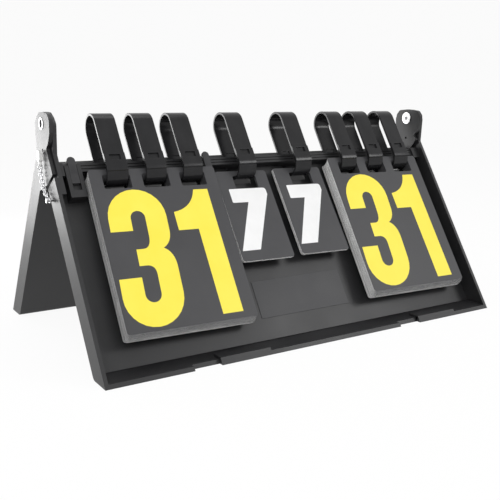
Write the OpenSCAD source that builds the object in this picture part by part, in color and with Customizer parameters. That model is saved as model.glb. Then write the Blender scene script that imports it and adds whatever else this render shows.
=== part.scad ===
/* [Shells] */
// Width of both shells, end face to end face
board_w = 385; // [320:1:460]
// Distance from the hinge axis to the bottom rim, along the panel
panel_len = 208.4; // [185:0.2:250]
// Lean of each shell from the vertical, when it stands
lean = 33; // [31:0.5:38]
// Depth of each tray, from the rim to the back of its plate
tray_depth = 18.6; // [16:0.2:24]
// Thickness of the end walls and the bottom wall
wall = 3; // [2:0.1:4]
// Thickness of the plate that closes the tray
plate_t = 2; // [1.5:0.1:3]
// Rounding of the outer edges behind the plate
edge_r = 3; // [1:0.5:4]

/* [Top rail] */
// Distance from the hinge axis to the top edge of the shells
rail_top = 31; // [30:0.5:36]
// Height of the rail along the top edge
rail_h = 7; // [5:0.5:9]
// Depth of the rail in front of the plate
rail_d = 8.6; // [6:0.2:10]
// Width and depth of the two grooves along the rail
groove_w = 0.8; // [0.4:0.1:1.2]
// Width of the cheeks that carry the rail at both ends
cheek_w = 8; // [5:0.5:10]

/* [Bottom rim] */
// How far the rim is cut back at a catch notch
notch_d = 3.4; // [2:0.2:5]
// Length of a catch notch
notch_len = 23; // [16:1:30]
// Length of the thick tab beside each notch
tab_len = 45; // [30:1:55]
// Thickness of a tab
tab_t = 6; // [4:0.2:8]
// Place of the inner end of each tab, from the middle
tab_left = 55; // [45:1:70]
tab_right = 104; // [100:1:115]

/* [Ears] */
// Thickness of the inner hinge ears; the outer ones are as thick as the end walls
ear_t = 3.2; // [2.4:0.1:4]
// Distance from the hinge axis to the square end of the wall beside the other shell's ear
wall_cut = 45.7; // [44:0.1:50]
// Gap between that wall end and the lower edge of the ear, in the standing pose
ear_gap = 3.4; // [1:0.1:6]
// Gap between faces that slide past each other
slide_gap = 0.3; // [0.2:0.05:0.6]
// Diameter of the hinge bore
bore_d = 8; // [6:0.2:10]
// Diameter of the small hole below the hinge
tie_hole_d = 2.4; // [1.6:0.1:3]
// Distance of the small hole below the hinge axis, in the standing pose
tie_drop = 20; // [18:0.5:21]

/* [Hinge rivets] */
// Radial clearance of a rivet in the ear that turns on it
rivet_fit = 0.06; // [0.03:0.01:0.1]
// Diameter of the rivet's flange inside
flange_d = 11.4; // [10.5:0.2:14]
// Thickness of a rivet's flanges
flange_t = 0.9; // [0.6:0.1:1.5]
// Diameter of the through hole of a rivet
rivet_hole_d = 4.2; // [3:0.2:5]
// Diameter of the open mouth on the outside
mouth_d = 6.8; // [5.4:0.1:7]

/* [Card rings] */
// Width of the ring straps
ring_w = 17.5; // [14:0.5:20]
// Thickness of the ring straps
ring_t = 2; // [1.4:0.1:2.6]
// Depth of a ring, front to back
ring_depth = 23.8; // [22:0.2:28]
// Distance from the hinge axis to the centre of the lower bend
ring_low = 40; // [38:0.5:44]
// Distances of the four pairs of rings from the middle of the row
ring_set_at = 29.8; // [26:0.2:32]
ring_score_at = 116; // [112:0.5:120]
ring_pitch = 33; // [28:0.5:36]
// Shift of the whole row to the right
row_shift = 6.5; // [0:0.5:8]
// Extra thickness of the clasp on a ring's front leg
clasp_t = 0.8; // [0.4:0.1:1.2]
// Height of the clasp's step above the centre of the lower bend, and width of its snap window
clasp_top = 11; // [9:0.5:14]
snap_w = 9; // [6:0.5:12]

/* [Cards] */
// Number of cards in a score pack
score_count = 32; // [24:1:32]
// Number of cards in a set pack
set_count = 8; // [6:1:10]
// Width and height of a score card
score_w = 110; // [100:1:114]
score_h = 134; // [110:1:136]
// Width and height of a set card
set_w = 51; // [40:1:53]
set_h = 85; // [70:1:95]
// Thickness of one card, and the pitch of the cards in a pack
card_t = 0.3; // [0.2:0.05:0.32]
card_pitch = 0.34; // [0.33:0.01:0.36]
// Rounding of a card's corners
card_r = 2.5; // [1:0.5:5]
// Length and height of the slots that the rings pass through
slot_w = 23; // [21:0.5:24]
slot_h = 12.5; // [11:0.5:14]
// Rounding of the slots' corners
slot_r = 1.6; // [0.5:0.1:2]
// How far the cards hang to the left of their rings
card_shift = 1; // [0:0.1:1.5]
// Distance of a set card's slot to the right of the card's middle
set_slot_off = 2; // [0:0.5:5]
// Card left above each slot
bridge = 4.5; // [3.5:0.5:6]
// Lean of a score pack and of a set pack on its rings
score_lean = 1.6; // [0:0.1:1.7]
set_lean = 3.6; // [0:0.1:3.8]
// Small turn of the packs in their own plane, to the left at the bottom
score_swing = 1.2; // [0:0.1:2.4]
set_swing = 1.2; // [0:0.1:3]

/* [Small pieces] */
// Width, height and thickness of the blank name plate
label_w = 91; // [60:1:100]
label_h = 32; // [20:1:36]
label_t = 0.4; // [0.2:0.1:0.8]
// Height of the name plate's lower edge above the bottom rim
label_up = 33; // [25:1:40]
// Distance of the name plate's middle to the right of the board's middle
label_off = 1.5; // [0:0.5:6]
// Width and thickness of the upright stop posts
post_w = 6.5; // [5:0.5:7]
post_d = 3; // [2:0.2:4]
// Distance from the hinge axis to the round tops of the posts
post_top = 25.5; // [23:0.5:28]
// Heights of the left post and of the short middle one
post_h = 23; // [18:1:28]
short_post_h = 15; // [12:0.5:15.5]
// Places of the two posts, from the left end of the shell
post_left = 18.5; // [17:0.5:20]
post_middle = 136.5; // [130:0.5:138]
// Width of the raised surround of the left post, and its wall below the pocket
cup_w = 13; // [10:0.5:14]
cup_floor = 6; // [3:0.5:8]
// Wire, length and width of one chain link
link_wire = 1; // [0.8:0.1:1.2]
link_len = 5.2; // [4.8:0.2:7]
link_w = 3.8; // [3.6:0.1:4.4]
// Distance from the hinge axis to the chain's peg, along the panel
peg_down = 58; // [56:0.5:70]
// Depth of the chain's peg behind the rim
peg_y = 14; // [8:0.2:15]
// Diameter of the chain's peg
peg_d = 1.5; // [1.2:0.1:1.6]
// Length, width and thickness of the chain's clasp
clasp_len = 11.5; // [9:0.5:14]
clasp_w = 6.4; // [5:0.2:8]
clasp_thick = 2.6; // [2:0.1:3.4]

/* [Hidden] */
$fn = 48;
eps = 0.01;
half = board_w / 2;
axis_z = panel_len * cos(lean);
// Local frame of a shell: X across, Y from the rim to the back, Z up to the hinge axis
foot_rise = tray_depth * tan(lean);
plate_y = tray_depth - plate_t;
rail_y = plate_y - rail_d;
rail_z = -rail_top - rail_h;
ring_r = ring_depth / 2;
ring_y = tray_depth + ring_t - ring_r;
ring_in = ring_r - ring_t;
window_w = ring_w + 3;
window_h = ring_low + ring_r - rail_top - rail_h + 1.5;
// Front faces of the two kinds of pack, where they hang in the rings
score_y = ring_y - ring_in + 2.7;
set_y = ring_y - 0.7;
// Faces of the inner ears, beside the outer ears of the other shell
ear_out = half - wall - slide_gap;
ear_in = ear_out - ear_t;
ring_xs = [
    for (d = [-ring_score_at - ring_pitch, -ring_score_at, -ring_score_at + ring_pitch, -ring_set_at,
              ring_set_at, ring_score_at - ring_pitch, ring_score_at, ring_score_at + ring_pitch])
        d + row_shift
];
post_xs = [-half + post_left, -half + post_middle];
post_hs = [post_h, short_post_h];
post_y = rail_y - post_d / 2;
post_fit = 0.1;
chain_x = -half - 2 * slide_gap - link_w / 2;

// Points of an outline whose corners are rounded: each corner is [y, z, radius]
function unit(v) = v / norm(v);
function corner(p, c, n, r) =
    let (
        a = unit([p.x - c.x, p.y - c.y]),
        b = unit([n.x - c.x, n.y - c.y]),
        half_open = acos(max(-1, min(1, a * b))) / 2,
        reach = r / tan(half_open),
        centre = [c.x, c.y] + unit(a + b) * r / sin(half_open),
        start = [c.x, c.y] + a * reach - centre,
        end = [c.x, c.y] + b * reach - centre,
        a0 = atan2(start.y, start.x),
        turn0 = atan2(end.y, end.x) - a0,
        turn = turn0 > 180 ? turn0 - 360 : turn0 < -180 ? turn0 + 360 : turn0,
        steps = max(2, ceil(abs(turn) / 12))
    )
    [for (i = [0 : steps]) centre + r * [cos(a0 + turn * i / steps), sin(a0 + turn * i / steps)]];
function rounded(c) = [
    for (i = [0 : len(c) - 1])
        let (p = c[(i + len(c) - 1) % len(c)], n = c[(i + 1) % len(c)])
            each (c[i][2] > 0 ? corner(p, c[i], n, c[i][2]) : [[c[i].x, c[i].y]])
];

// A solid from an outline in the Y-Z plane, between two places along X
module across(x0, x1) {
    translate([x0, 0, 0])
        rotate([90, 0, 90])
            linear_extrude(x1 - x0)
                children();
}
module block(x0, x1, y0, y1, z0, z1) {
    translate([x0, y0, z0]) cube([x1 - x0, y1 - y0, z1 - z0]);
}
// Stand a shell's local frame up on its half of the A
module on_front() {
    translate([0, 0, axis_z]) rotate([-lean, 0, 0]) children();
}
module on_back() {
    rotate([0, 0, 180]) on_front() children();
}

// End wall seen from the side, with a flat foot and rounded back corners
module end_outline() {
    polygon(rounded([
        [0, -rail_top, 1],
        [tray_depth, -rail_top, edge_r],
        [tray_depth, -panel_len + foot_rise, edge_r * 2],
        [0, -panel_len, 0]
    ]));
}
// A point of the other shell, given as its distance down the panel and out from the rim
function facing(v, n) = [v * sin(2 * lean) + n * cos(2 * lean), n * sin(2 * lean) - v * cos(2 * lean)];
function with_r(p, r) = [p.x, p.y, r];
// Hinge ear: a flat-topped head round the axis, a waist and a nose behind the plate
ear_head = [
    [0, -27, 3], [-13.5, -8.5, 4], [-12, -2, 3], [-8.5, 4.5, 4], [-1.8, 9.2, 6], [7.8, 14.3, 4],
    [14, 12.8, 4], [18.6, 5, 4], [19.3, -4, 2]
];
inner_ear_foot = wall_cut + 14;
module inner_ear_outline() {
    polygon(rounded(concat(
        [[0, -inner_ear_foot, 0]], ear_head,
        [[18.4, -8.2, 1], [23.4, -9.7, 0.8], [21.9, -23.4, 2], [tray_depth, -rail_top, 0],
         [tray_depth, -inner_ear_foot, 0]]
    )));
}
// Its lower edge runs beside the square wall end of the other shell
module outer_ear_outline() {
    ear_edge = wall_cut - ear_gap;
    polygon(rounded(concat(
        [[0, -rail_top - 19, 0]], ear_head,
        [[17.3, -10.8, 2], with_r(facing(ear_edge, -2.4), 1.2), with_r(facing(ear_edge, -19.9), 2),
         [22.9, -45.7, 2], [tray_depth, -50, 0]]
    )));
}
// The small hole lies straight below the axis when the shells stand
module ear_holes(x0, x1, hinge_d) {
    across(x0, x1) circle(d = hinge_d);
    across(x0, x1)
        translate([tie_drop * sin(lean), -tie_drop * cos(lean)])
            circle(d = tie_hole_d, $fn = 24);
}

// Catch tabs and notches along the bottom rim
module bottom_tab(x0) {
    across(x0, x0 + tab_len)
        polygon([
            [0, -panel_len],
            [0, -panel_len + tab_t],
            [tray_depth / 2, -panel_len + tab_t + tray_depth / 2 * tan(lean)],
            [tray_depth / 2, -panel_len + tray_depth / 2 * tan(lean)]
        ]);
}
module bottom_notch(x0) {
    across(x0, x0 + notch_len)
        polygon([
            [-1, -panel_len - 2],
            [-1, -panel_len + tab_t + 2],
            [notch_d, -panel_len + tab_t + 2],
            [notch_d, -panel_len - 2]
        ]);
}
module tray() {
    difference() {
        union() {
            // Plate
            across(-half + eps, half - eps)
                polygon([
                    [plate_y, -rail_top],
                    [plate_y, -panel_len + foot_rise + wall],
                    [tray_depth, -panel_len + foot_rise + wall],
                    [tray_depth, -rail_top - edge_r],
                    [tray_depth - edge_r * 0.3, -rail_top - edge_r * 0.3],
                    [tray_depth - edge_r, -rail_top]
                ]);
            // Top rail
            block(-half + eps, half - eps, rail_y, plate_y + eps, rail_z, -rail_top);
            // Bottom wall, flat on the table
            across(-half + eps, half - eps)
                polygon(rounded([
                    [0, -panel_len, 0],
                    [0, -panel_len + wall / cos(lean), 0],
                    [plate_y, -panel_len + plate_y * tan(lean) + wall / cos(lean), 0],
                    [tray_depth, -panel_len + foot_rise + edge_r * 2, 0],
                    [tray_depth, -panel_len + foot_rise, edge_r * 1.5]
                ]));
            across(-half, -half + wall) end_outline();
            across(half - wall, half) end_outline();
            bottom_tab(-tab_left - tab_len);
            bottom_tab(tab_right);
            // Cheeks that carry the rail at both ends
            for (s = [-1, 1])
                block(s < 0 ? -half + wall - eps : half - wall - cheek_w,
                      s < 0 ? -half + wall + cheek_w : half - wall + eps,
                      rail_y - 2, plate_y + eps, rail_z - 4, -rail_top);
        }
        bottom_notch(-tab_left - tab_len - notch_len);
        bottom_notch(tab_right - notch_len);
        for (k = [0.25, 0.62])
            block(-half + wall + cheek_w + 1, half - wall - cheek_w - 1, rail_y - 1, rail_y + groove_w,
                  -rail_top - rail_h * k - groove_w, -rail_top - rail_h * k);
    }
}
module ring_windows() {
    for (x = ring_xs)
        block(x - window_w / 2, x + window_w / 2, plate_y - 1, tray_depth + 1, rail_z - window_h, rail_z);
}
// The same moulding twice: the right ear continues its end wall, the left one stands further in
module shell() {
    difference() {
        union() {
            difference() {
                tray();
                // Room for the other shell's outer ear
                block(-half - 1, -ear_out, -1, tray_depth + 1, -wall_cut, -rail_top + 1);
            }
            across(-ear_out, -ear_in) inner_ear_outline();
            block(-half + wall - eps, -ear_out + eps, 0, tray_depth - edge_r / 2, -inner_ear_foot, -wall_cut);
            across(half - wall, half) outer_ear_outline();
        }
        ear_holes(-half - 1, -ear_in + 1, bore_d);
        ear_holes(half - wall - 1, half + 1, bore_d);
        ring_windows();
    }
}
module front_shell() {
    color([0.09, 0.09, 0.1])
        on_front()
            difference() {
                union() {
                    shell();
                    post_cup();
                }
                for (i = [0, 1]) post_channel(i);
            }
}
module back_shell() {
    color([0.1, 0.1, 0.11]) on_back() shell();
}

// Tubular rivet: tight in the inner ear with a flange inside, a lip outside the turning ear
module rivet(s) {
    lip_x = half + 0.05;
    color([0.82, 0.83, 0.84])
        translate([0, 0, axis_z])
            mirror([s < 0 ? 1 : 0, 0, 0])
                difference() {
                    union() {
                        across(ear_in - flange_t, ear_in) circle(d = flange_d);
                        across(ear_in - eps, ear_out) circle(d = bore_d);
                        across(ear_out - eps, lip_x + eps) circle(d = bore_d - 2 * rivet_fit);
                        across(lip_x, lip_x + flange_t / 2) circle(d = bore_d + 1.2);
                    }
                    across(ear_in - 2, half + 2) circle(d = rivet_hole_d);
                    across(half - wall, half + 2) circle(d = mouth_d);
                }
}
module left_rivet() { rivet(-1); }
module right_rivet() { rivet(1); }

// Strap ring round the top rail, with its clasp on the front leg
module ring_outline(grow) {
    module stadium(r) {
        translate([ring_y, 0]) circle(r = r);
        translate([ring_y, -ring_low]) circle(r = r);
        translate([ring_y - r, -ring_low]) square([2 * r, ring_low]);
    }
    difference() {
        stadium(ring_r + grow);
        stadium(ring_in);
    }
}
module ring(i) {
    x = ring_xs[i];
    color([0.13, 0.13, 0.14])
        on_front()
            difference() {
                union() {
                    across(x - ring_w / 2, x + ring_w / 2) ring_outline(0);
                    // Thick lower end of the front leg
                    intersection() {
                        across(x - ring_w / 2, x + ring_w / 2) ring_outline(clasp_t);
                        block(x - ring_w, x + ring_w, ring_y - 2 * ring_r, ring_y - ring_in / 2,
                              -ring_low - ring_r * 0.35, -ring_low + clasp_top);
                    }
                }
                // Snap window of the clasp
                block(x - snap_w / 2, x + snap_w / 2, ring_y - 2 * ring_r, ring_y - ring_r + 0.8,
                      -ring_low + clasp_top - 6, -ring_low + clasp_top - 1.5);
                // Recess of the back leg
                block(x - snap_w / 2, x + snap_w / 2, ring_y + ring_in - 1, ring_y + ring_in + 0.8,
                      -rail_top + 2, -rail_top + 9);
            }
}

// Round-topped stop posts in channels of the rail; the left one stands in a raised surround
pocket_z = -post_top - post_h - 5.5;
module post_cup() {
    x = post_xs[0];
    block(x - cup_w / 2, x + cup_w / 2, post_y, plate_y + eps, pocket_z - cup_floor, rail_z + 5);
}
module post_channel(i) {
    w = post_w + 2 * post_fit;
    low = i == 0 ? pocket_z : -post_top - post_hs[i];
    block(post_xs[i] - w / 2, post_xs[i] + w / 2, post_y - 1, post_y + post_d + post_fit, low, 0);
}
module post(i) {
    color([0.12, 0.12, 0.13])
        on_front() {
            block(post_xs[i] - post_w / 2, post_xs[i] + post_w / 2, post_y, post_y + post_d,
                  -post_top - post_hs[i] + post_fit, -post_top - post_w / 2);
            translate([post_xs[i], post_y, -post_top - post_w / 2])
                rotate([-90, 0, 0])
                    cylinder(d = post_w, h = post_d);
        }
}
module left_post() { post(0); }
module middle_post() { post(1); }

// Blank name plate, stuck to the front plate
module name_plate() {
    color([0.16, 0.16, 0.17])
        on_front()
            block(label_off - label_w / 2, label_off + label_w / 2, plate_y - label_t, plate_y,
                  -panel_len + label_up, -panel_len + label_up + label_h);
}

// Where a card's slot rests on the inside of the lower bend, at depth y
function hang_z(y) = -ring_low - sqrt(ring_in * ring_in - (y - ring_y) * (y - ring_y)) + 0.15;
module card(x, w, h, slots, y, tilt, swing) {
    // The slot farthest to the left rests on its strap
    lift = (ring_w / 2 + card_shift - min(slots)) * sin(swing);
    translate([x, y, hang_z(y) + lift])
        rotate([-tilt, swing, 0])
            rotate([90, 0, 0])
                translate([0, bridge, -card_t])
                    linear_extrude(card_t)
                        difference() {
                            union() {
                                translate([-w / 2 + card_r, -h]) square([w - 2 * card_r, h]);
                                translate([-w / 2, -h + card_r]) square([w, h - 2 * card_r]);
                                for (cx = [-w / 2 + card_r, w / 2 - card_r])
                                    for (cy = [-h + card_r, -card_r])
                                        translate([cx, cy]) circle(r = card_r, $fn = 16);
                            }
                            for (sx = slots)
                                translate([sx, -bridge - slot_h / 2]) {
                                    square([slot_w - 2 * slot_r, slot_h], center = true);
                                    square([slot_w, slot_h - 2 * slot_r], center = true);
                                    for (cx = [-1, 1])
                                        for (cy = [-1, 1])
                                            translate([cx * (slot_w / 2 - slot_r), cy * (slot_h / 2 - slot_r)])
                                                circle(r = slot_r, $fn = 16);
                                }
                        }
}
score_slots = [-ring_pitch, 0, ring_pitch];
module score_cards(s, first, last) {
    color([0.2, 0.2, 0.22])
        on_front()
            for (k = [first : last])
                card(s * ring_score_at + row_shift - card_shift, score_w, score_h, score_slots,
                     score_y + k * card_pitch, score_lean, score_swing);
}
module set_cards(s, first, last) {
    color([0.2, 0.2, 0.22])
        on_front()
            for (k = [first : last])
                card(s * ring_set_at + row_shift - card_shift - set_slot_off, set_w, set_h, [set_slot_off],
                     set_y + k * card_pitch, set_lean, set_swing);
}
module left_score_top_card() { score_cards(-1, 0, 0); }
module left_score_cards() { score_cards(-1, 1, score_count - 1); }
module left_set_top_card() { set_cards(-1, 0, 0); }
module left_set_cards() { set_cards(-1, 1, set_count - 1); }
module right_set_top_card() { set_cards(1, 0, 0); }
module right_set_cards() { set_cards(1, 1, set_count - 1); }
module right_score_top_card() { score_cards(1, 0, 0); }
module right_score_cards() { score_cards(1, 1, score_count - 1); }

// Chain from the peg on the front shell's left wall up to the hole in the back shell's ear.
// It leaves the clasp straight down and sags round an even arc to the peg.
peg_at = [-peg_down * sin(lean) + peg_y * cos(lean), axis_z - peg_down * cos(lean) - peg_y * sin(lean)];
tie_at = [0, axis_z - tie_drop];
chain_end = tie_at - [0, clasp_len - 1];
sag_chord = norm(chain_end - peg_at);
chord_dir = atan2(chain_end.y - peg_at.y, chain_end.x - peg_at.x);
peg_dir = 2 * chord_dir - 90;
sag_r = sag_chord / (2 * sin(90 - chord_dir));
sag_len = sag_r * (90 - peg_dir) * PI / 180;
link_count = ceil(sag_len / (link_len - 2 * link_wire - 0.15));
link_pitch = sag_len / link_count;
function sag_dir(d) = peg_dir + d / sag_r * 180 / PI;
module along_chain(d) {
    dir = sag_dir(d);
    translate([
        chain_x,
        peg_at.x + sag_r * (sin(dir) - sin(peg_dir)),
        peg_at.y + sag_r * (cos(peg_dir) - cos(dir))
    ])
        rotate([dir, 0, 0])
            children();
}
module link(turn) {
    straight = link_len - link_w;
    rotate([0, turn, 0])
        for (s = [-1, 1]) {
            translate([0, s * straight / 2, 0])
                rotate([0, 0, s < 0 ? 180 : 0])
                    rotate_extrude(angle = 180, $fn = 32)
                        translate([link_w / 2 - link_wire / 2, 0])
                            circle(d = link_wire, $fn = 16);
            translate([s * (link_w / 2 - link_wire / 2), -straight / 2, 0])
                rotate([-90, 0, 0])
                    cylinder(d = link_wire, h = straight, $fn = 16);
        }
}
module chain_peg() {
    head_x = chain_x - link_w / 2 - 0.1;
    color([0.75, 0.75, 0.77])
        translate([0, peg_at.x, peg_at.y]) {
            across(head_x, -half) circle(d = peg_d);
            across(head_x - 0.8, head_x + eps) circle(d = peg_d * 2.2);
        }
}
// The first link hangs on the peg, and each next one is turned a quarter
first_link = link_len / 2 - link_wire - peg_d / 2 - 0.1;
module chain_links() {
    color([0.8, 0.81, 0.83])
        for (i = [0 : link_count - 1])
            along_chain(first_link + i * link_pitch)
                link(i % 2 == 0 ? 90 : 0);
}
// Oval clasp: a thin eye in the last link, a thick body and a nib that faces the ear's hole
module chain_clasp() {
    eye_t = link_w - 2 * link_wire - 0.5;
    eye_r = clasp_w / 2 - 1;
    eye_hole_d = 2 * link_wire + 0.5;
    eye_at = first_link + (link_count - 1) * link_pitch + link_len / 2 - link_wire - 0.1;
    turn = link_count % 2 == 0 ? 90 : 0;
    color([0.9, 0.9, 0.9])
        along_chain(eye_at)
            rotate([0, turn, 0])
                difference() {
                    union() {
                        translate([0, eye_r - 1.4, -eye_t / 2])
                            cylinder(r = eye_r, h = eye_t, $fn = 32);
                        translate([0, clasp_w / 2 + 1, 0])
                            rotate([0, -turn, 0])
                                clasp_body();
                    }
                    translate([0, 1, -clasp_thick])
                        cylinder(d = eye_hole_d, h = 2 * clasp_thick, $fn = 24);
                }
}
module clasp_body() {
    span = clasp_len - clasp_w - 2;
    rotate([0, 90, 0])
        translate([0, 0, -clasp_thick / 2]) {
            translate([0, 1, 0]) cylinder(d = clasp_w, h = clasp_thick);
            translate([0, 1 + span, 0]) cylinder(d = clasp_w, h = clasp_thick);
            translate([-clasp_w / 2, 1, 0]) cube([clasp_w, span, clasp_thick]);
            translate([0, span + 1, clasp_thick - eps])
                cylinder(d = tie_hole_d, h = link_w / 2 - clasp_thick / 2, $fn = 24);
        }
}

front_shell();
back_shell();
left_rivet();
right_rivet();
ring(0);  // ring_1
ring(1);  // ring_2
ring(2);  // ring_3
ring(3);  // ring_4
ring(4);  // ring_5
ring(5);  // ring_6
ring(6);  // ring_7
ring(7);  // ring_8
left_post();
middle_post();
name_plate();
left_score_top_card();
left_score_cards();
left_set_top_card();
left_set_cards();
right_set_top_card();
right_set_cards();
right_score_top_card();
right_score_cards();
chain_peg();
chain_links();
chain_clasp();
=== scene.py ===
import math

import bmesh
import bpy
from mathutils import Matrix, Vector


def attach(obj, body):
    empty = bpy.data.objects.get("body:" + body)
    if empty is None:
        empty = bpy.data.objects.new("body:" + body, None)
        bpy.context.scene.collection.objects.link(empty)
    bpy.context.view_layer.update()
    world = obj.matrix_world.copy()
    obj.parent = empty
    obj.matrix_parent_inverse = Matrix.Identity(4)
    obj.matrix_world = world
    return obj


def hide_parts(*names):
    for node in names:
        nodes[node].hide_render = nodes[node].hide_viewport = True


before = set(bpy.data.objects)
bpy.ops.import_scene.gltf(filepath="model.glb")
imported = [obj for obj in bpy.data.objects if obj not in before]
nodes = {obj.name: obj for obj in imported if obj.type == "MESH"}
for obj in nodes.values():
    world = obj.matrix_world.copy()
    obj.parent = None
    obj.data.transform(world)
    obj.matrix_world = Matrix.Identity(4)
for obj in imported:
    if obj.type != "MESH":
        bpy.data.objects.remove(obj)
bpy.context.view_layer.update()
mm = 0.001

# The standing shell that the cards hang on, in millimetres and degrees
panel = {"length": 208.4, "lean": 33.0, "width": 385.0}
panel["axisZ"] = panel["length"] * math.cos(math.radians(panel["lean"]))

# Where the photograph was taken from: place, lens and sensor in millimetres, turns in degrees
camera = {
    "place": (-366.61, -564.79, 198.68),
    "yaw": 32.72,
    "pitch": -11.95,
    "roll": 0.46,
    "lens": 53.49,
    "sensor": 36,
    "shift": (-0.0002, 0.0005),
    "nearest": 10,
}

# Points closer than this are joined, in metres
joinWithin = {"drawn": 1e-7, "cad": 2e-6}


def turned(angle, axis):
    return Matrix.Rotation(math.radians(angle), 4, axis)


# From the shell's own frame (across, behind the rim, up to the axis) to the scene
panelFrame = Matrix.Translation((0, 0, panel["axisZ"] * mm)) @ turned(-panel["lean"], "X")


def linked(obj):
    bpy.context.scene.collection.objects.link(obj)
    return obj


def meshPiece(name, mesh, material=None):
    obj = linked(bpy.data.objects.new(name, mesh))
    mesh.name = name
    if material:
        mesh.materials.clear()
        mesh.materials.append(material)
    return obj


def evaluatedMesh(obj):
    graph = bpy.context.evaluated_depsgraph_get()
    return bpy.data.meshes.new_from_object(obj.evaluated_get(graph))


# Turns what the modifiers make into the object's own mesh, and takes them off
def settled(obj):
    mesh = evaluatedMesh(obj)
    obj.modifiers.clear()
    old = obj.data
    obj.data = mesh
    if old.users == 0:
        bpy.data.meshes.remove(old)
    return obj


# Smooth shading, apart from edges at least as sharp as the angle
def smoothed(mesh, angle):
    mesh.polygons.foreach_set("use_smooth", [True] * len(mesh.polygons))
    mesh.set_sharp_from_angle(angle=math.radians(angle))
    return mesh


# A flat outline with holes, as thick as asked, front face at depth 0 and the rest behind it
def flatShape(name, outlines, thickness):
    curve = bpy.data.curves.new(name, "CURVE")
    curve.dimensions = "2D"
    curve.fill_mode = "BOTH"
    curve.extrude = thickness / 2 * mm
    for points in outlines:
        spline = curve.splines.new("POLY")
        spline.points.add(len(points) - 1)
        for point, (a, b) in zip(spline.points, points):
            point.co = (a * mm, b * mm, 0, 1)
        spline.use_cyclic_u = True
    holder = linked(bpy.data.objects.new(name, curve))
    mesh = evaluatedMesh(holder)
    bpy.data.objects.remove(holder)
    bpy.data.curves.remove(curve)
    # Stand it up: outline X to X, outline Y to Z, thickness to +Y
    mesh.transform(Matrix.Translation((0, thickness / 2 * mm, 0)) @ turned(90, "X"))
    merged = bmesh.new()
    merged.from_mesh(mesh)
    bmesh.ops.remove_doubles(merged, verts=merged.verts, dist=joinWithin["drawn"])
    bmesh.ops.recalc_face_normals(merged, faces=merged.faces)
    merged.to_mesh(mesh)
    merged.free()
    mesh.name = name
    return mesh


def arc(centre, radius, start, end, steps=14):
    return [
        (
            centre[0] + radius * math.cos(math.radians(start + (end - start) * i / steps)),
            centre[1] + radius * math.sin(math.radians(start + (end - start) * i / steps)),
        )
        for i in range(steps + 1)
    ]


def bend(start, control, end, steps=10):
    points = []
    for i in range(steps + 1):
        t = i / steps
        weights = ((1 - t) ** 2, 2 * t * (1 - t), t * t)
        points.append(tuple(sum(w * at for w, at in zip(weights, axis)) for axis in zip(start, control, end)))
    return points


def roundedBox(left, right, low, high, radius, steps=5):
    return (
        arc((right - radius, high - radius), radius, 90, 0, steps)
        + arc((right - radius, low + radius), radius, 0, -90, steps)
        + arc((left + radius, low + radius), radius, -90, -180, steps)
        + arc((left + radius, high - radius), radius, 180, 90, steps)
    )


# One call for a node of any tree: settings are its attributes, inputs are values or sockets to link
def add(tree, kind, settings=None, inputs=None):
    made = tree.nodes.new(kind)
    for key, value in (settings or {}).items():
        setattr(made, key, value)
    for key, value in (inputs or {}).items():
        if isinstance(value, bpy.types.NodeSocket):
            tree.links.new(value, made.inputs[key])
        else:
            made.inputs[key].default_value = value
    return made


def maths(tree, operation, first, second=0.0):
    return add(tree, "ShaderNodeMath", {"operation": operation}, {0: first, 1: second}).outputs[0]


def newMaterial(name):
    made = bpy.data.materials.new(name)
    made.use_nodes = True
    tree = made.node_tree
    tree.nodes.clear()
    shader = add(tree, "ShaderNodeBsdfPrincipled")
    add(tree, "ShaderNodeOutputMaterial", inputs={"Surface": shader.outputs[0]})
    return made, tree, shader


noiseRoughness = 0.55
noiseMiddle = (0.3, 0.7)


def objectPoint(tree, stretch):
    place = add(tree, "ShaderNodeTexCoord").outputs["Object"]
    return add(tree, "ShaderNodeMapping", inputs={"Vector": place, "Scale": stretch}).outputs[0]


def noise(tree, point, scale, detail):
    inputs = {"Vector": point, "Scale": scale, "Detail": detail, "Roughness": noiseRoughness}
    return add(tree, "ShaderNodeTexNoise", inputs=inputs).outputs["Fac"]


# Stretches the middle of a noise over a range
def spread(tree, value, low, high):
    start, end = noiseMiddle
    inputs = {"Value": value, "From Min": start, "From Max": end, "To Min": low, "To Max": high}
    return add(tree, "ShaderNodeMapRange", inputs=inputs).outputs[0]


# The Mix node has its colours at sockets 6 and 7, and its mixed colour at output 2
def mixed(tree, share, first, second):
    inputs = {0: share, 6: (*first, 1), 7: (*second, 1)}
    return add(tree, "ShaderNodeMix", {"data_type": "RGBA"}, inputs).outputs[2]


def bumped(tree, shader, height, distance, strength):
    inputs = {"Height": height, "Distance": distance * mm, "Strength": strength}
    bump = add(tree, "ShaderNodeBump", inputs=inputs)
    tree.links.new(bump.outputs[0], shader.inputs["Normal"])


# What a look has unless it says otherwise
usualLook = {
    "stretch": (1, 1, 1), "metal": 0.0, "specular": 0.3, "ior": 1.5, "patchDetail": 4.0, "grainDetail": 2.0,
}
# How far patches and grain each sway the gloss
glossShare = {"patches": 0.6, "grain": 0.4}


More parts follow.
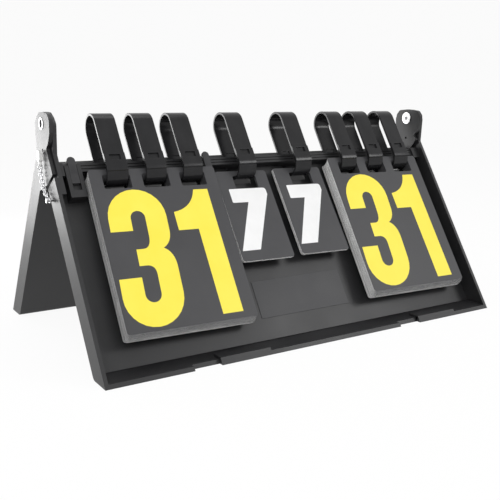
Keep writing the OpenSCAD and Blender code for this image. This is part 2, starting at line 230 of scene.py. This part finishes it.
# Moulded, printed or plated surface: two tones in soft patches, uneven gloss and a fine grain
def mouldedMaterial(name, ownLook):
    look = {**usualLook, **ownLook}
    made, tree, shader = newMaterial(name)
    point = objectPoint(tree, look["stretch"])
    patches = noise(tree, point, look["patchScale"], look["patchDetail"])
    grain = noise(tree, point, look["grainScale"], look["grainDetail"])
    tone = mixed(tree, spread(tree, patches, 0, 1), look["dark"], look["light"])
    tree.links.new(tone, shader.inputs["Base Color"])
    patchPart = maths(tree, "MULTIPLY", patches, glossShare["patches"])
    grainPart = maths(tree, "MULTIPLY", grain, glossShare["grain"])
    gloss = spread(tree, maths(tree, "ADD", patchPart, grainPart), *look["gloss"])
    tree.links.new(gloss, shader.inputs["Roughness"])
    bumped(tree, shader, grain, look["grainHeight"], look["grainStrength"])
    shader.inputs["Metallic"].default_value = look["metal"]
    shader.inputs["IOR"].default_value = look["ior"]
    shader.inputs["Specular IOR Level"].default_value = look["specular"]
    return made


# Two linear colours, scales of the patches and the grain, lowest and highest roughness, grain in mm
looks = {
    "shell": {
        "dark": (0.012, 0.012, 0.013), "light": (0.018, 0.018, 0.019), "patchScale": 22, "grainScale": 1500,
        "gloss": (0.36, 0.48), "grainHeight": 0.05, "grainStrength": 0.35, "specular": 0.38,
    },
    "ring": {
        "dark": (0.012, 0.012, 0.013), "light": (0.018, 0.018, 0.019), "patchScale": 60, "grainScale": 500,
        "gloss": (0.16, 0.27), "grainHeight": 0.03, "grainStrength": 0.15, "stretch": (1, 1, 0.3),
        "specular": 0.22,
    },
    "post": {
        "dark": (0.026, 0.026, 0.028), "light": (0.04, 0.04, 0.042), "patchScale": 160, "grainScale": 1300,
        "gloss": (0.3, 0.42), "grainHeight": 0.04, "grainStrength": 0.3,
    },
    "namePlate": {
        "dark": (0.036, 0.036, 0.038), "light": (0.043, 0.043, 0.046), "patchScale": 45, "grainScale": 2200,
        "gloss": (0.38, 0.48), "grainHeight": 0.02, "grainStrength": 0.2,
    },
    "brightMetal": {
        "dark": (0.42, 0.42, 0.43), "light": (0.6, 0.6, 0.6), "patchScale": 300, "grainScale": 2600,
        "gloss": (0.18, 0.34), "grainHeight": 0.02, "grainStrength": 0.25, "metal": 1.0,
    },
    "chain": {
        "dark": (0.5, 0.5, 0.51), "light": (0.72, 0.72, 0.73), "patchScale": 220, "grainScale": 1800,
        "gloss": (0.14, 0.3), "grainHeight": 0.02, "grainStrength": 0.2, "metal": 1.0,
    },
    "clasp": {
        "dark": (0.74, 0.74, 0.73), "light": (0.84, 0.84, 0.83), "patchScale": 180, "grainScale": 1600,
        "gloss": (0.3, 0.42), "grainHeight": 0.02, "grainStrength": 0.2,
    },
    # The cards' printed face; the slots' walls also take this dark colour, as painted shade in place of their
    # pale cut
    "cardPrintAndSlotShade": {
        "dark": (0.046, 0.046, 0.049), "light": (0.056, 0.056, 0.059), "patchScale": 30, "grainScale": 1900,
        "gloss": (0.4, 0.52), "grainHeight": 0.02, "grainStrength": 0.25,
    },
    "cardEdge": {
        "dark": (0.72, 0.72, 0.72), "light": (0.93, 0.93, 0.92), "patchScale": 260, "grainScale": 1500,
        "gloss": (0.5, 0.7), "grainHeight": 0.03, "grainStrength": 0.3, "stretch": (0.3, 1, 0.3),
    },
    "yellowInk": {
        "dark": (0.92, 0.77, 0.075), "light": (0.95, 0.81, 0.1), "patchScale": 40, "grainScale": 2400,
        "gloss": (0.4, 0.52), "grainHeight": 0.015, "grainStrength": 0.2,
    },
    "whiteInk": {
        "dark": (0.83, 0.83, 0.83), "light": (0.88, 0.88, 0.88), "patchScale": 60, "grainScale": 2400,
        "gloss": (0.4, 0.52), "grainHeight": 0.015, "grainStrength": 0.2,
    },
}
finish = {name: mouldedMaterial(name, look) for name, look in looks.items()}
print("materials", len(finish))


# Edges sharper than the angle are eased; the weight lets large flat faces keep their own direction
easing = {"flatWithin": 1, "sharperThan": 32, "segments": 2, "weight": 100}


# A copy of a CAD node with eased edges, which stands for the node
def easedCopy(name, nodeName, material, body, width):
    mesh = nodes[nodeName].data.copy()
    work = bmesh.new()
    work.from_mesh(mesh)
    bmesh.ops.remove_doubles(work, verts=work.verts, dist=joinWithin["cad"])
    flat = math.radians(easing["flatWithin"])
    bmesh.ops.dissolve_limit(work, angle_limit=flat, verts=work.verts, edges=work.edges)
    work.to_mesh(mesh)
    work.free()
    piece = meshPiece(name, mesh, material)
    bevel = piece.modifiers.new("easedEdges", "BEVEL")
    bevel.width = width * mm
    bevel.segments = easing["segments"]
    bevel.limit_method = "ANGLE"
    bevel.angle_limit = math.radians(easing["sharperThan"])
    bevel.use_clamp_overlap = True
    mesh.polygons.foreach_set("use_smooth", [True] * len(mesh.polygons))
    levelled = piece.modifiers.new("levelled", "WEIGHTED_NORMAL")
    levelled.weight = easing["weight"]
    settled(piece)
    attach(piece, body)
    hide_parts(nodeName)


# Width of the eased edges, in millimetres
edges = {
    "shell": 0.35, "ring": 0.3, "post": 0.35, "namePlate": 0.12, "rivet": 0.12, "peg": 0.15, "clasp": 0.3,
}
easedCopy("frontShell", "front_shell", finish["shell"], "front", edges["shell"])
easedCopy("backShell", "back_shell", finish["shell"], "back", edges["shell"])
easedCopy("leftRivet", "left_rivet", finish["brightMetal"], "front", edges["rivet"])
easedCopy("rightRivet", "right_rivet", finish["brightMetal"], "back", edges["rivet"])
for number in range(1, 9):
    easedCopy(f"ringStrap{number}", f"ring_{number}", finish["ring"], "front", edges["ring"])
easedCopy("leftPost", "left_post", finish["post"], "front", edges["post"])
easedCopy("middlePost", "middle_post", finish["post"], "front", edges["post"])
easedCopy("namePlate", "name_plate", finish["namePlate"], "front", edges["namePlate"])
easedCopy("chainPeg", "chain_peg", finish["brightMetal"], "front", edges["peg"])
easedCopy("chainClasp", "chain_clasp", finish["clasp"], "chain", edges["clasp"])
print("shells, rings and small pieces")

# The cards, in the numbers of the part's source
ringBend = {"low": 40.0, "depth": 8.7, "inside": 9.9, "strap": 17.5, "slack": 0.15}
cardStock = {
    "thick": 0.3, "pitch": 0.34, "corner": 2.5, "bridge": 4.5,
    "slotWide": 23.0, "slotHigh": 12.5, "slotCorner": 1.6,
    "shift": 1.0, "sideways": 0.14, "seed": 7,
    "paleSide": 1.2, "paleTop": 0.8, "wallSlope": 0.7,
}
scorePack = {
    "count": 32, "wide": 110.0, "high": 134.0, "slots": (-33.0, 0.0, 33.0),
    "depth": 1.5, "lean": 1.6, "swing": 1.2,
}
setPack = {
    "count": 8, "wide": 51.0, "high": 85.0, "slots": (2.0,),
    "depth": 8.0, "lean": 3.6, "swing": 1.2,
}
# Thickness of the ink and its gap to the card: on the top cards' fronts, and on backs and second cards
ink = {"front": 0.05, "frontGap": 0.005, "thin": 0.012, "thinGap": 0.002}
packs = {
    "leftScore": (scorePack, -110.5, "left_score"),
    "leftSet": (setPack, -26.3, "left_set"),
    "rightSet": (setPack, 33.3, "right_set"),
    "rightScore": (scorePack, 121.5, "right_score"),
}


# Height at which a slot's top edge rests in the lower bend of a strap, at one depth
def hangHeight(depth):
    drop = math.sqrt(ringBend["inside"] ** 2 - (depth - ringBend["depth"]) ** 2)
    return -ringBend["low"] - drop + ringBend["slack"]


# A card turns about the middle of its slots' top edge, lean first, and then goes to its place
def cardTurn(pack):
    return turned(pack["swing"], "Y") @ turned(-pack["lean"], "X")


def cardPlace(pack, across, number):
    depth = pack["depth"] + number * cardStock["pitch"]
    reach = ringBend["strap"] / 2 + cardStock["shift"] - min(pack["slots"])
    lift = reach * math.sin(math.radians(pack["swing"]))
    return Matrix.Translation((across * mm, depth * mm, (hangHeight(depth) + lift) * mm))


def cardMesh(name, pack):
    half = pack["wide"] / 2
    top = cardStock["bridge"]
    outlines = [roundedBox(-half, half, top - pack["high"], top, cardStock["corner"])]
    reach = cardStock["slotWide"] / 2
    low = -cardStock["slotHigh"]
    for middle in pack["slots"]:
        outlines.append(roundedBox(middle - reach, middle + reach, low, 0, cardStock["slotCorner"], 3))
    mesh = flatShape(name, outlines, cardStock["thick"])
    # The pale cut edge shows round the outside only; the slots' walls keep the dark print as painted shade,
    # though their real cut is pale too
    rim = mesh.attributes.new("rim", "BOOLEAN", "FACE")
    for face in mesh.polygons:
        aside = half - abs(face.center.x / mm) < cardStock["paleSide"]
        upper = top - face.center.z / mm < cardStock["paleTop"]
        lower = face.center.z / mm - top + pack["high"] < cardStock["paleSide"]
        wall = abs(face.normal.y) < cardStock["wallSlope"]
        rim.data[face.index].value = wall and (aside or upper or lower)
    return mesh


# Numerals as outlines on a card, measured across from its middle and up from the slots' top edge
scoreThree = [
    [(-51, -49)]
    + arc((-27, -38), 24, 180, 0)
    + [(-3, -50)]
    + bend((-3, -50), (-3, -61), (-11, -65))
    + bend((-11, -65), (-2.5, -69), (-2.5, -82))
    + arc((-27, -102), 24.5, 0, -180)
    + [(-51.5, -87), (-33.5, -87)]
    + arc((-27, -101), 6.5, 180, 360)
    + bend((-20.5, -86), (-20.5, -78), (-28, -78))
    + [(-33.5, -78), (-33.5, -64.5)]
    + bend((-28, -64.5), (-21, -64.5), (-21, -54))
    + arc((-27, -38.5), 6, 0, 180)
    + [(-33, -49)]
]
# The figure three leans a little to the right, about a point low in it
leaning = {"slope": 0.055, "foot": -95.0}
scoreThree = [
    [(a + leaning["slope"] * (b - leaning["foot"]), b) for a, b in outline] for outline in scoreThree
]
scoreOne = [
    [(7.5, -35.5)]
    + bend((7.5, -35.5), (25, -33), (30, -16.5))
    + [(43, -16.5), (43, -124), (25, -124), (25, -51.5), (7.5, -51.5)]
]
scoreNought = [roundedBox(3, 50, -126.5, -14, 23, 12), roundedBox(19.5, 33.5, -107.5, -33, 7, 6)]
setSeven = [
    bend((-17.2, -14), (-17.2, -13), (-16.2, -13), 3)
    + [(16.5, -13)]
    + bend((16.5, -13), (19.5, -13), (19.5, -16), 4)
    + [(19.5, -19.5), (-5.5, -71), (-23, -71), (-2, -26.2), (-16.2, -26.2)]
    + bend((-16.2, -26.2), (-17.2, -26.2), (-17.2, -25.2), 3)
]
setSix = [
    arc((0, -32.5), 19.5, 0, 180, 16) + arc((0, -51.5), 19.5, 180, 360, 16) + [(19.5, -46)]
    + bend((19.5, -46), (17, -36.5), (6, -36.5)) + [(-6, -36.5)] + arc((0, -32), 6, 180, 0, 8),
    roundedBox(-6, 6, -58.5, -47.5, 5, 5),
]
numbers = {
    "score": {"front": [scoreThree, scoreOne], "behind": [scoreThree, scoreNought], "ink": "yellowInk"},
    "set": {"front": [setSeven], "behind": [setSix], "ink": "whiteInk"},
}


# Printed numerals as one thin mesh: depth is where their front face lies
def printedMesh(name, shapes, thickness, depth):
    whole = bmesh.new()
    for shape in shapes:
        part = flatShape(name, shape, thickness)
        whole.from_mesh(part)
        bpy.data.meshes.remove(part)
    bmesh.ops.translate(whole, verts=whole.verts, vec=(0, depth * mm, 0))
    mesh = bpy.data.meshes.new(name)
    whole.to_mesh(mesh)
    whole.free()
    return mesh


# Several meshes in one, each keeping its own material; faces marked as rim take the pale edge
def joinedMesh(name, parts):
    whole = bmesh.new()
    materials = [finish["cardEdge"]]
    for mesh, material in parts:
        first = len(whole.faces)
        rim = mesh.attributes.get("rim")
        edge = [rim.data[face.index].value if rim else False for face in mesh.polygons]
        whole.from_mesh(mesh)
        whole.faces.ensure_lookup_table()
        if material not in materials:
            materials.append(material)
        for face, pale in zip(whole.faces[first:], edge):
            face.material_index = 0 if pale else materials.index(material)
        bpy.data.meshes.remove(mesh)
    made = bpy.data.meshes.new(name)
    whole.to_mesh(made)
    whole.free()
    for material in materials:
        made.materials.append(material)
    return made


for packName, (pack, across, nodeName) in packs.items():
    kind = numbers["score" if pack is scorePack else "set"]
    place = panelFrame @ cardPlace(pack, across, 0) @ cardTurn(pack)
    frontDepth = -ink["front"] - ink["frontGap"]
    reverse = printedMesh("reversePrint", kind["behind"], ink["thin"], 0)
    backPlace = Matrix.Translation((0, (cardStock["thick"] + ink["thin"] + ink["thinGap"]) * mm, 0))
    reverse.transform(backPlace @ turned(180, "Z"))
    top = joinedMesh(
        packName + "TopCard",
        [
            (cardMesh("card", pack), finish["cardPrintAndSlotShade"]),
            (printedMesh("frontPrint", kind["front"], ink["front"], frontDepth), finish[kind["ink"]]),
            (reverse, finish[kind["ink"]]),
        ],
    )
    top.transform(place)
    piece = meshPiece(packName + "TopCard", top)
    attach(piece, nodeName + "_top")
    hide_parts(nodeName + "_top_card")
print("top cards", len(packs))


# Geometry Nodes: a tree with named inputs, and the identifiers by which a modifier sets them
def newTree(name, inputs):
    tree = bpy.data.node_groups.new(name, "GeometryNodeTree")
    tree.interface.new_socket("Geometry", in_out="INPUT", socket_type="NodeSocketGeometry")
    keys = {}
    for label, kind in inputs.items():
        socket = tree.interface.new_socket(label, in_out="INPUT", socket_type="NodeSocket" + kind)
        keys[label] = socket.identifier
    tree.interface.new_socket("Geometry", in_out="OUTPUT", socket_type="NodeSocketGeometry")
    return tree, keys, add(tree, "NodeGroupInput").outputs


def grown(piece, tree, keys, values):
    modifier = piece.modifiers.new(tree.name, "NODES")
    modifier.node_group = tree
    for label, value in values.items():
        modifier[keys[label]] = value
    return settled(piece)


# The pack behind a top card: one card, hung again and again down the curve of the straps
packTree, packKeys, given = newTree(
    "cardsOnStraps",
    {
        "Count": "Int", "Pitch": "Float", "First Depth": "Float",
        "Strap Centre Depth": "Float", "Strap Radius": "Float", "Sideways": "Float", "Seed": "Int",
        "Print And Slot Shade": "Material", "Edge": "Material",
    },
)
index = add(packTree, "GeometryNodeInputIndex").outputs[0]
line = add(packTree, "GeometryNodeMeshLine", inputs={"Count": given["Count"], "Offset": (0, 0, 0)})
depthNow = maths(packTree, "ADD", maths(packTree, "MULTIPLY", index, given["Pitch"]), given["First Depth"])

# How far the strap's inside lies below its centre at that depth
fromCentre = maths(packTree, "SUBTRACT", depthNow, given["Strap Centre Depth"])
radiusSquared = maths(packTree, "POWER", given["Strap Radius"], 2.0)
inside = maths(packTree, "SUBTRACT", radiusSquared, maths(packTree, "POWER", fromCentre, 2.0))
drop = maths(packTree, "MULTIPLY", maths(packTree, "SQRT", inside), -1.0)

# Each card sits a little to one side; sockets 2 and 3 are the lowest and highest drift
leftmost = maths(packTree, "MULTIPLY", given["Sideways"], -1.0)
drift = add(
    packTree, "FunctionNodeRandomValue", {"data_type": "FLOAT"},
    {2: leftmost, 3: given["Sideways"], "ID": index, "Seed": given["Seed"]},
).outputs[1]
spot = add(packTree, "ShaderNodeCombineXYZ", inputs={0: drift, 1: depthNow, 2: drop}).outputs[0]
hung = add(packTree, "GeometryNodeSetPosition", inputs={"Geometry": line.outputs[0], "Position": spot})
cards = add(
    packTree, "GeometryNodeInstanceOnPoints",
    inputs={"Points": hung.outputs[0], "Instance": given["Geometry"]},
)
solid = add(packTree, "GeometryNodeRealizeInstances", inputs={"Geometry": cards.outputs[0]})
# Every face takes the print first, so the slots' walls stay dark as painted shade; the marked outer rim then
# takes the pale edge
printedWithSlotShade = add(
    packTree, "GeometryNodeSetMaterial",
    inputs={"Geometry": solid.outputs[0], "Material": given["Print And Slot Shade"]},
)
rim = add(packTree, "GeometryNodeInputNamedAttribute", {"data_type": "BOOLEAN"}, {"Name": "rim"})
edged = add(
    packTree, "GeometryNodeSetMaterial",
    inputs={"Geometry": printedWithSlotShade.outputs[0], "Selection": rim.outputs["Attribute"], "Material": given["Edge"]},
)
add(packTree, "NodeGroupOutput", inputs={0: edged.outputs[0]})

for number, (packName, (pack, across, nodeName)) in enumerate(packs.items()):
    card = cardMesh(packName + "Cards", pack)
    card.transform(cardTurn(pack))
    piece = meshPiece(packName + "Cards", card, finish["cardPrintAndSlotShade"])
    grown(
        piece, packTree, packKeys,
        {
            "Count": pack["count"] - 1,
            "Pitch": cardStock["pitch"] * mm,
            "First Depth": (pack["depth"] + cardStock["pitch"]) * mm,
            "Strap Centre Depth": ringBend["depth"] * mm,
            "Strap Radius": ringBend["inside"] * mm,
            "Sideways": cardStock["sideways"] * mm,
            "Seed": cardStock["seed"] + number,
            "Print And Slot Shade": finish["cardPrintAndSlotShade"],
            "Edge": finish["cardEdge"],
        },
    )
    # The tree drops each card from the centre of the bend, so the mesh goes to that centre
    second = cardPlace(pack, across, 1).translation
    down = hangHeight(pack["depth"] + cardStock["pitch"]) + ringBend["low"] - ringBend["slack"]
    piece.data.transform(panelFrame @ Matrix.Translation((second.x, 0, second.z - down * mm)))
    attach(piece, "front")
    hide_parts(nodeName + "_cards")

    kind = numbers["score" if pack is scorePack else "set"]
    nextDepth = -ink["thin"] - ink["thinGap"]
    nextPrint = printedMesh(packName + "NextNumber", kind["behind"], ink["thin"], nextDepth)
    nextPrint.transform(panelFrame @ cardPlace(pack, across, 1) @ cardTurn(pack))
    piece = meshPiece(packName + "NextNumber", nextPrint, finish[kind["ink"]])
    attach(piece, "front")
print("card packs", sum(pack["count"] for pack, across, nodeName in packs.values()))

# The chain: one wire link, set out along the sagging arc, each turned a quarter from the last
chain = {
    "wire": 1.0, "long": 5.2, "wide": 3.8, "play": 0.15, "outside": 2.5,
    "pegDown": 58.0, "pegDepth": 14.0, "pegThick": 1.5, "pegGap": 0.1,
    "tieDrop": 20.0, "claspLong": 11.5, "eyeInset": 1,
    "sides": 8, "bendSteps": 8, "sharpFrom": 60,
}
lean = math.radians(panel["lean"])
pegAt = Vector((
    -chain["pegDown"] * math.sin(lean) + chain["pegDepth"] * math.cos(lean),
    panel["axisZ"] - chain["pegDown"] * math.cos(lean) - chain["pegDepth"] * math.sin(lean),
))
chainEnd = Vector((0, panel["axisZ"] - chain["tieDrop"] - chain["claspLong"] + chain["eyeInset"]))
chord = chainEnd - pegAt
chordDirection = math.atan2(chord.y, chord.x)
pegDirection = 2 * chordDirection - math.pi / 2
sagRadius = chord.length / (2 * math.sin(math.pi / 2 - chordDirection))
sagLength = sagRadius * (math.pi / 2 - pegDirection)
linkCount = math.ceil(sagLength / (chain["long"] - 2 * chain["wire"] - chain["play"]))
firstLink = chain["long"] / 2 - chain["wire"] - chain["pegThick"] / 2 - chain["pegGap"]

# One link: a round wire swept round a stadium
link = bmesh.new()
reach = chain["wide"] / 2 - chain["wire"] / 2
straight = chain["long"] - chain["wide"]
path = [(x, y + straight / 2) for x, y in arc((0, 0), reach, 0, 180, chain["bendSteps"])]
path += [(x, y - straight / 2) for x, y in arc((0, 0), reach, 180, 360, chain["bendSteps"])]
outward = arc((0, 0), 1, 0, 180, chain["bendSteps"]) + arc((0, 0), 1, 180, 360, chain["bendSteps"])
section = arc((0, 0), chain["wire"] / 2, 0, 360, chain["sides"])[:-1]
rounds = []
for (x, y), (ox, oy) in zip(path, outward):
    points = [Vector((x + ox * out, y + oy * out, rise)) * mm for out, rise in section]
    rounds.append([link.verts.new(point) for point in points])
for number, ring in enumerate(rounds):
    following = rounds[(number + 1) % len(rounds)]
    for side in range(chain["sides"]):
        beside = (side + 1) % chain["sides"]
        link.faces.new((ring[side], following[side], following[beside], ring[beside]))
bmesh.ops.recalc_face_normals(link, faces=link.faces)
linkMesh = bpy.data.meshes.new("chainLinks")
link.to_mesh(linkMesh)
link.free()

chainTree, chainKeys, given = newTree(
    "linksAlongSag",
    {
        "Count": "Int", "First": "Float", "Pitch": "Float", "Radius": "Float", "Start Direction": "Float",
        "Metal": "Material",
    },
)
index = add(chainTree, "GeometryNodeInputIndex").outputs[0]
line = add(chainTree, "GeometryNodeMeshLine", inputs={"Count": given["Count"], "Offset": (0, 0, 0)})
travel = maths(chainTree, "ADD", maths(chainTree, "MULTIPLY", index, given["Pitch"]), given["First"])
started = given["Start Direction"]
direction = maths(chainTree, "ADD", maths(chainTree, "DIVIDE", travel, given["Radius"]), started)
sines = [maths(chainTree, "SINE", angle) for angle in (direction, started)]
cosines = [maths(chainTree, "COSINE", angle) for angle in (started, direction)]
along = maths(chainTree, "MULTIPLY", given["Radius"], maths(chainTree, "SUBTRACT", *sines))
rise = maths(chainTree, "MULTIPLY", given["Radius"], maths(chainTree, "SUBTRACT", *cosines))
spot = add(chainTree, "ShaderNodeCombineXYZ", inputs={1: along, 2: rise}).outputs[0]
sagging = add(chainTree, "GeometryNodeSetPosition", inputs={"Geometry": line.outputs[0], "Position": spot})
even = maths(chainTree, "SUBTRACT", 1.0, maths(chainTree, "MODULO", index, 2.0))
rolled = maths(chainTree, "MULTIPLY", even, math.pi / 2)
quarter = add(chainTree, "ShaderNodeCombineXYZ", inputs={1: rolled}).outputs[0]
climb = add(chainTree, "ShaderNodeCombineXYZ", inputs={0: direction}).outputs[0]
laid = add(
    chainTree, "FunctionNodeRotateRotation", {"rotation_space": "GLOBAL"},
    {
        0: add(chainTree, "FunctionNodeEulerToRotation", inputs={0: quarter}).outputs[0],
        1: add(chainTree, "FunctionNodeEulerToRotation", inputs={0: climb}).outputs[0],
    },
).outputs[0]
links = add(
    chainTree, "GeometryNodeInstanceOnPoints",
    inputs={"Points": sagging.outputs[0], "Instance": given["Geometry"], "Rotation": laid},
)
solid = add(chainTree, "GeometryNodeRealizeInstances", inputs={"Geometry": links.outputs[0]})
coated = add(
    chainTree, "GeometryNodeSetMaterial",
    inputs={"Geometry": solid.outputs[0], "Material": given["Metal"]},
)
add(chainTree, "NodeGroupOutput", inputs={0: coated.outputs[0]})

piece = meshPiece("chainLinks", linkMesh, finish["chain"])
grown(
    piece, chainTree, chainKeys,
    {
        "Count": linkCount,
        "First": firstLink * mm,
        "Pitch": sagLength / linkCount * mm,
        "Radius": sagRadius * mm,
        "Start Direction": pegDirection,
        "Metal": finish["chain"],
    },
)
chainAcross = -panel["width"] / 2 - chain["outside"]
piece.data.transform(Matrix.Translation(Vector((chainAcross, pegAt.x, pegAt.y)) * mm))
smoothed(piece.data, chain["sharpFrom"])
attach(piece, "chain")
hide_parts("chain_links")
print("chain links", linkCount)

# Floor and backdrop: one pale sheet that bends up behind the object
stage = {
    "floorHalf": 3.0, "sideways": 1.6, "behind": 2.2, "bendRadius": 0.8, "bendSteps": 12, "wallHeight": 3.2,
    "colour": (0.93, 0.93, 0.93), "roughness": 0.9, "fill": 0.93, "sharpFrom": 40,
}
profile = [(-stage["floorHalf"], 0.0)]
profile += [
    (stage["behind"] + stage["bendRadius"] * math.sin(a), stage["bendRadius"] * (1 - math.cos(a)))
    for a in (math.pi / 2 * i / stage["bendSteps"] for i in range(stage["bendSteps"] + 1))
]
profile.append((stage["behind"] + stage["bendRadius"], stage["wallHeight"]))
sweep = bmesh.new()
half = stage["floorHalf"] * stage["sideways"]
rows = [[sweep.verts.new((x, y, z)) for x in (-half, half)] for y, z in profile]
for near, far in zip(rows, rows[1:]):
    sweep.faces.new((near[0], near[1], far[1], far[0]))
sweepMesh = bpy.data.meshes.new("paleFloor")
sweep.to_mesh(sweepMesh)
sweep.free()


# Rays that should meet the white of the background: from the camera, off a gloss or through glass
def seesWhite(tree):
    rays = add(tree, "ShaderNodeLightPath").outputs
    direct = maths(tree, "MAXIMUM", rays["Is Camera Ray"], rays["Is Glossy Ray"])
    return maths(tree, "MAXIMUM", direct, rays["Is Transmission Ray"])


floorMaterial, tree, shader = newMaterial("paleFloor")
shader.inputs["Base Color"].default_value = (*stage["colour"], 1)
shader.inputs["Roughness"].default_value = stage["roughness"]
white = add(tree, "ShaderNodeEmission", inputs={"Color": (1, 1, 1, 1), "Strength": 1.0})
seen = maths(tree, "MULTIPLY", seesWhite(tree), stage["fill"])
both = add(tree, "ShaderNodeMixShader", inputs={0: seen, 1: shader.outputs[0], 2: white.outputs[0]})
output = next(each for each in tree.nodes if each.type == "OUTPUT_MATERIAL")
tree.links.new(both.outputs[0], output.inputs["Surface"])
# The sheet is turned with the camera, so that its bend stays square to the picture
sweepMesh.transform(turned(-camera["yaw"], "Z"))
floor = meshPiece("paleFloor", smoothed(sweepMesh, stage["sharpFrom"]), floorMaterial)

# Strength of the white all round: as it lights the object, and as it is seen
surroundings = {"light": 0.42, "seen": 1.0}
world = bpy.data.worlds.new("studio")
bpy.context.scene.world = world
world.use_nodes = True
tree = world.node_tree
tree.nodes.clear()
soft = add(tree, "ShaderNodeBackground", inputs={"Color": (1, 1, 1, 1), "Strength": surroundings["light"]})
clear = add(tree, "ShaderNodeBackground", inputs={"Color": (1, 1, 1, 1), "Strength": surroundings["seen"]})
both = add(tree, "ShaderNodeMixShader", inputs={0: seesWhite(tree), 1: soft.outputs[0], 2: clear.outputs[0]})
add(tree, "ShaderNodeOutputWorld", inputs={"Surface": both.outputs[0]})

# Places, aims and sizes in metres, power in watts
lamps = {
    "frontSoftbox": {
        "place": (-0.8, -0.98, 0.9), "aim": (0.0, 0.0, 0.08), "size": (0.8, 0.8), "power": 8.0,
    },
    "sheenSoftbox": {
        "place": (0.74, -0.83, 0.7), "aim": (0.0, -0.08, 0.02), "size": (0.4, 0.3), "power": 3.4,
    },
    "topSoftbox": {
        "place": (-0.1, 0.2, 1.3), "aim": (0.0, 0.0, 0.0), "size": (0.9, 0.9), "power": 5.0,
    },
    "rearLeftPanel": {
        "place": (-0.46, 0.5, 0.1), "aim": (-0.19, 0.0, 0.04), "size": (0.6, 0.18), "power": 2.1,
    },
}
for name, lamp in lamps.items():
    light = bpy.data.lights.new(name, "AREA")
    light.shape = "RECTANGLE"
    light.size, light.size_y = lamp["size"]
    light.energy = lamp["power"]
    holder = linked(bpy.data.objects.new(name, light))
    holder.location = lamp["place"]
    towards = Vector(lamp["aim"]) - Vector(lamp["place"])
    holder.rotation_euler = towards.to_track_quat("-Z", "Y").to_euler()
    holder.visible_camera = False

# The camera looks along its yaw and pitch, then rolls
yaw, pitch, roll = (math.radians(camera[key]) for key in ("yaw", "pitch", "roll"))
forward = Vector((math.sin(yaw) * math.cos(pitch), math.cos(yaw) * math.cos(pitch), math.sin(pitch)))
level = Vector((math.cos(yaw), -math.sin(yaw), 0))
above = level.cross(forward)
right = level * math.cos(roll) + above * math.sin(roll)
up = above * math.cos(roll) - level * math.sin(roll)
lens = bpy.data.cameras.new("camera")
lens.lens = camera["lens"]
lens.sensor_width = camera["sensor"]
lens.shift_x, lens.shift_y = camera["shift"]
lens.clip_start = camera["nearest"] * mm
eye = linked(bpy.data.objects.new("camera", lens))
facing = Matrix((right, up, -forward)).transposed().to_4x4()
eye.matrix_world = Matrix.Translation(Vector(camera["place"]) * mm) @ facing
bpy.context.scene.camera = eye
bpy.context.scene.view_settings.view_transform = "Standard"
print("stage, lights and camera")
